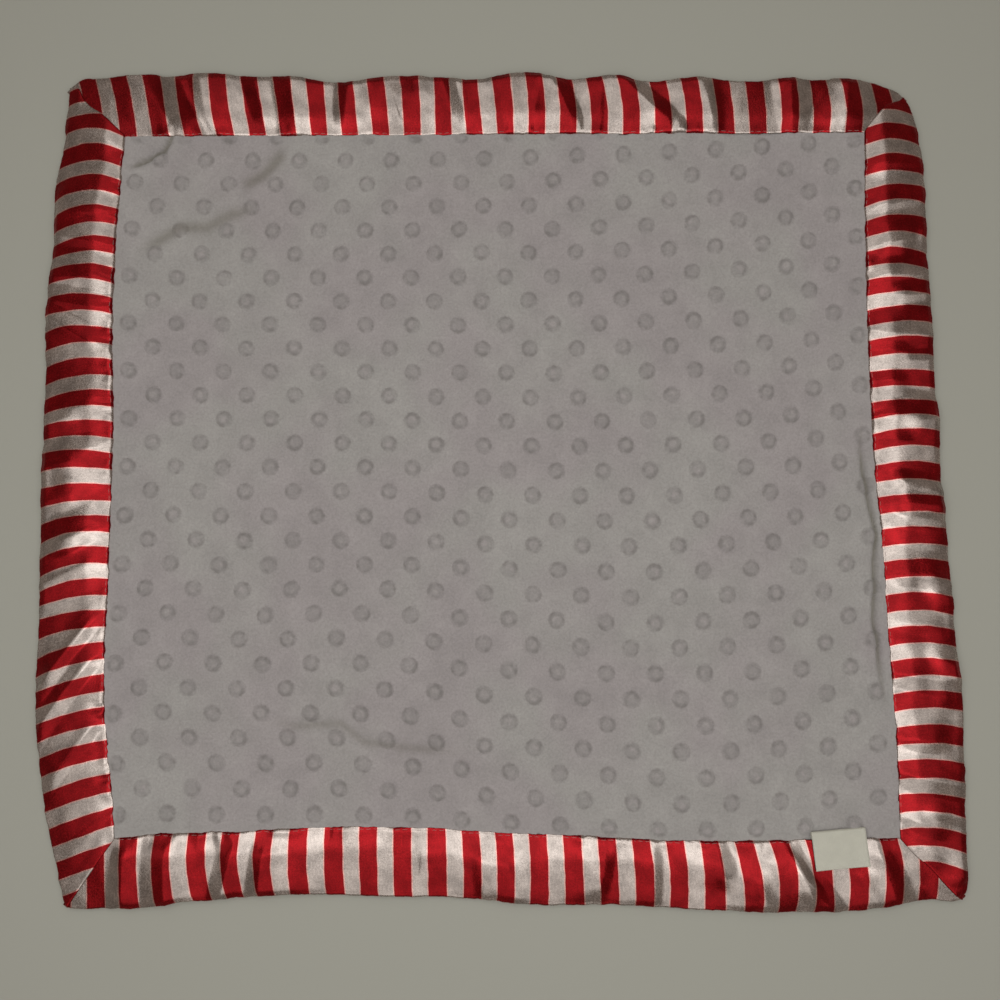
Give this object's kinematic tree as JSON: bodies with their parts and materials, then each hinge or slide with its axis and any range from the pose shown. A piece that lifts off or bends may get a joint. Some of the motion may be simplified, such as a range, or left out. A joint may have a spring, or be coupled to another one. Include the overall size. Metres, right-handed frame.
{
  "type": "comfort blanket",
  "caption": "Small square comfort blanket of dimple-dot plush in a folded, mitred satin binding, with a bare sewn label whose free flap lifts.",
  "frame": {"origin": "middle of the blanket's outline box, on the surface that it lies on", "axes": "+Z out of the dotted face, +X to the right and +Y away from the edge that carries the label"},
  "size_m": [0.3634, 0.3357, 0.0057],
  "materials": {
    "dot_plush": "white dimple-dot plush with a short, dense pile",
    "back_plush": "white smooth plush with a short pile",
    "striped_satin": "polyester satin with red and white stripes square to the edge, soft sheen",
    "label_tape": "plain pale satin tape, unprinted"
  },
  "bodies": {
    "blanket": {"front_panel": "dot_plush", "back_panel": "back_plush", "binding_top": "striped_satin", "binding_bottom": "striped_satin", "binding_left": "striped_satin", "binding_right": "striped_satin", "label_tab": "label_tape"},
    "label": {"label_flap": "label_tape"}
  },
  "joints": [
    {"name": "label_fold", "type": "hinge", "parent": "blanket", "child": "label", "pos_m": [0.13167, -0.1358, 0.0055], "axis": [-0.9954, -0.0958, 0], "range_deg": [0, 175]}
  ]
}
